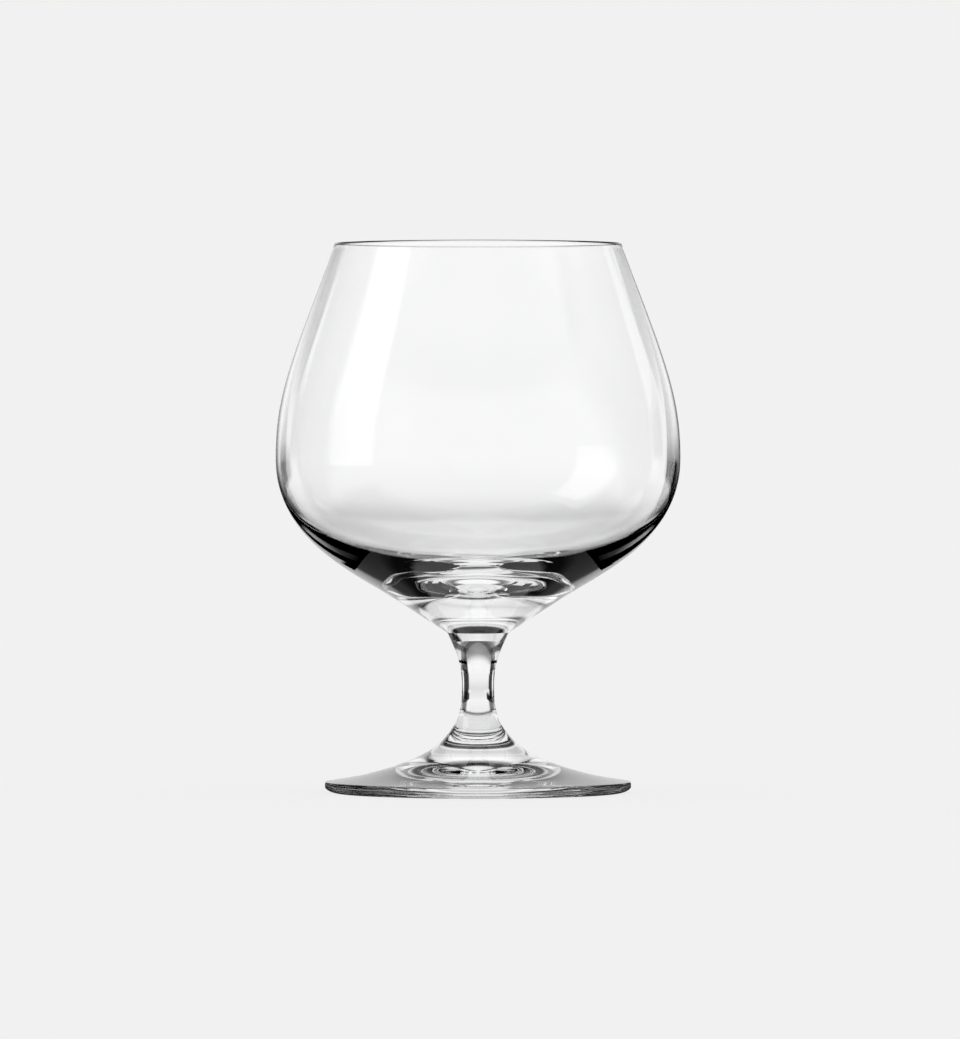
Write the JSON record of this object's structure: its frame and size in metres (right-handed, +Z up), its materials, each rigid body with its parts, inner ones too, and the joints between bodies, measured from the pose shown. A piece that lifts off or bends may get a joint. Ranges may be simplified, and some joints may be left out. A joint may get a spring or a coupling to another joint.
{
  "type": "snifter glass",
  "caption": "Short stemmed drinking glass: wide blown bowl narrowing to its rim, heavy solid base, waisted stem and round spread foot.",
  "frame": {"origin": "on the table, at the centre of the ring that the foot stands on", "axes": "+Z up along the glass's axis, towards the rim; X and Y are alike because the glass is round"},
  "size_m": [0.0972, 0.0972, 0.132],
  "materials": {
    "clear_glass": "fire-polished, clear"
  },
  "bodies": {
    "root": {"bowl": "clear_glass", "stem": "clear_glass", "foot": "clear_glass"}
  },
  "joints": []
}
